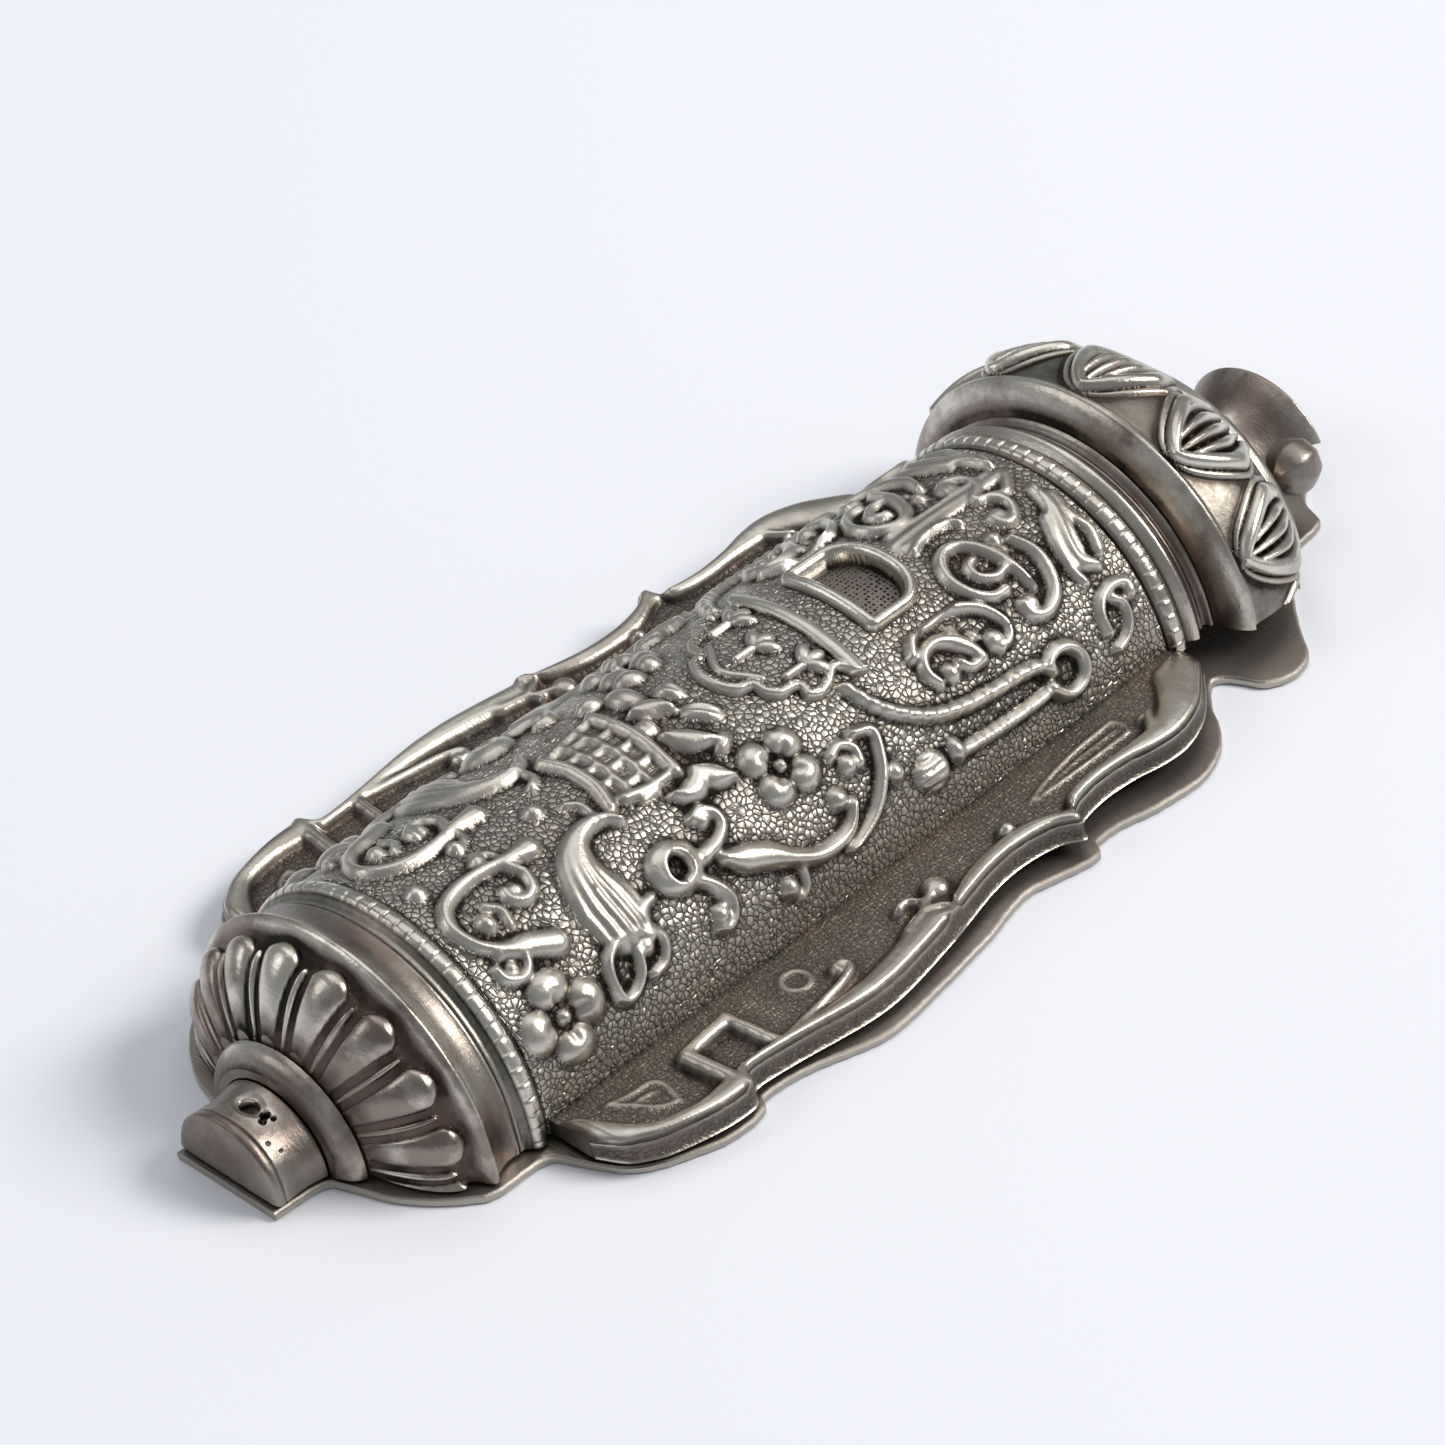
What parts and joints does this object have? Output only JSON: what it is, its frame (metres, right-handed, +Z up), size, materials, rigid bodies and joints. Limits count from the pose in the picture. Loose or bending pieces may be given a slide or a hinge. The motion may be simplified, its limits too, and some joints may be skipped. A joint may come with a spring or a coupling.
{
  "type": "mezuzah case",
  "caption": "Silver mezuzah case shaped like a dressed, crowned scroll, with a lift-off half-round front over a flat back sheet and a rolled parchment inside.",
  "frame": {"origin": "centre of the bounding box at its base, on the back sheet's rear face", "axes": "+Z up from the back sheet to the front, +Y along the case from the nail stub to the crown, +X to the right as the front is read"},
  "size_m": [0.05, 0.1094, 0.0179],
  "materials": {
    "silver_bright": "polished high points, oxidised hollows",
    "silver_dark": "oxidised, stippled",
    "silver_worn": "tarnished with a warm cast",
    "sheet_grey": "dull, scratched",
    "parchment": "plain vellum"
  },
  "bodies": {
    "back": {"back_plate": "sheet_grey"},
    "front": {"base_end_cap": "silver_worn", "base_stub": "silver_worn", "base_step_ring": "silver_worn", "base_dome": "silver_worn", "base_collar": "silver_bright", "lower_beaded_ring": "silver_bright", "barrel_shell": "silver_dark", "window_bezel": "silver_bright", "window_backing": "silver_dark", "breastplate": "silver_bright", "upper_beaded_ring": "silver_bright", "neck_ring": "silver_bright", "crown_neck": "silver_dark", "crown_flange": "silver_worn", "crown_leaf_band": "silver_bright", "crown_rim": "silver_bright", "crown_cap": "silver_worn", "finial_cup": "silver_worn", "finial_ball_right": "silver_worn", "finial_ball_left": "silver_worn", "wing_right": "silver_dark", "wing_left": "silver_dark"},
    "scroll": {"parchment_scroll": "parchment"}
  },
  "joints": [
    {"name": "front_lift", "type": "slide", "parent": "back", "child": "front", "axis": [0, 0, 1], "range_m": [0, 0.045]},
    {"name": "scroll_lift", "type": "slide", "parent": "back", "child": "scroll", "axis": [0, 0, 1], "range_m": [0, 0.0225]}
  ],
  "couplings": [
    {"joint": "scroll_lift", "follows": "front_lift", "ratio": 0.5}
  ]
}
